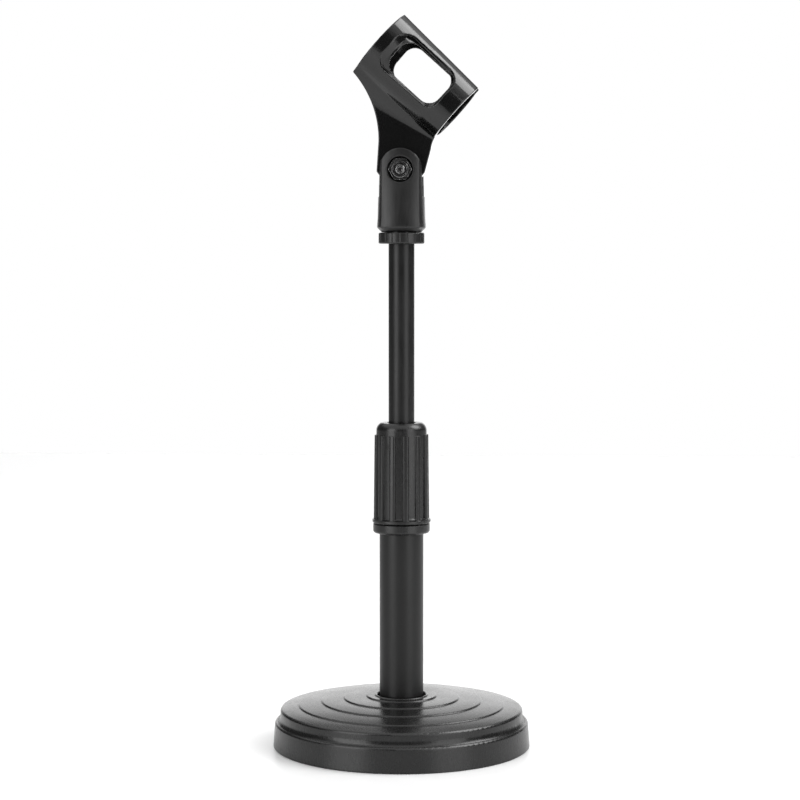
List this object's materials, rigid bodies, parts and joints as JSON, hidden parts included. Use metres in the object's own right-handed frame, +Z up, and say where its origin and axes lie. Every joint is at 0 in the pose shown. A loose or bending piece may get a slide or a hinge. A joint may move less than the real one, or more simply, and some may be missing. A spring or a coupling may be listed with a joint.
{
  "type": "desktop microphone stand",
  "caption": "Desktop microphone stand: weighted round base, telescoping tube with twist clutch, threaded swivel yoke and tilting slotted mic clip.",
  "frame": {"origin": "centre of the base's underside, on the table", "axes": "+Z up along the tubes; -Y is the front, +X is the side of the clip's narrow, lower end"},
  "size_m": [0.13, 0.13, 0.367],
  "materials": {
    "base_plastic": "satin moulded, fine grain",
    "cast_iron": "as cast",
    "plate_coat": "black coated sheet steel",
    "rubber": "matte",
    "zinc_steel": "zinc plated",
    "plain_steel": "machined",
    "tube_coat": "black powder coat, satin",
    "clutch_plastic": "satin moulded",
    "nylon": "natural nylon",
    "ring_plastic": "satin moulded, knurled rim",
    "yoke_plastic": "matte moulded",
    "brass": "machined",
    "black_steel": "black oxide",
    "clip_plastic": "polished moulded"
  },
  "bodies": {
    "base": {"base_shell": "base_plastic", "base_weight": "cast_iron", "base_plate": "plate_coat", "base_pad": "rubber", "base_plate_screws": "zinc_steel", "tube_foot_insert": "plain_steel", "base_bolt": "zinc_steel", "base_flat_washer": "zinc_steel", "base_spring_washer": "zinc_steel", "lower_tube": "tube_coat", "clutch_body": "clutch_plastic", "clutch_collet": "nylon"},
    "clutch_follower": {"clutch_thrust_washer": "zinc_steel"},
    "clutch_grip": {"clutch_grip": "clutch_plastic"},
    "mast": {"upper_tube": "tube_coat", "tube_guide_bush": "nylon", "threaded_stud": "black_steel"},
    "lock_ring": {"lock_ring": "ring_plastic"},
    "head": {"swivel_yoke": "yoke_plastic", "yoke_thread_insert": "brass", "pivot_bolt": "black_steel", "pivot_nut": "black_steel", "pivot_washers": "nylon"},
    "clip": {"mic_clip": "clip_plastic"}
  },
  "joints": [
    {"name": "clutch_lift", "type": "slide", "parent": "base", "child": "clutch_follower", "axis": [0, 0, 1], "range_m": [0, 0.0023]},
    {"name": "clutch_twist", "type": "hinge", "parent": "clutch_follower", "child": "clutch_grip", "pos_m": [0, 0, 0.14], "axis": [0, 0, 1], "range_deg": [0, 270]},
    {"name": "height", "type": "slide", "parent": "base", "child": "mast", "axis": [0, 0, 1], "range_m": [-0.048, 0.014]},
    {"name": "lock_ring_turn", "type": "hinge", "parent": "mast", "child": "lock_ring", "pos_m": [0, 0, 0.2565], "axis": [0, 0, 1], "range_deg": [-180, 180]},
    {"name": "head_swivel", "type": "hinge", "parent": "mast", "child": "head", "pos_m": [0, 0, 0.265], "axis": [0, 0, 1], "range_deg": [-180, 180]},
    {"name": "clip_tilt", "type": "hinge", "parent": "head", "child": "clip", "pos_m": [0, 0, 0.2906], "axis": [0, 1, 0], "range_deg": [-90, 75]}
  ],
  "couplings": [
    {"joint": "clutch_lift", "follows": "clutch_twist", "m_per_rad": 0.00047746}
  ]
}
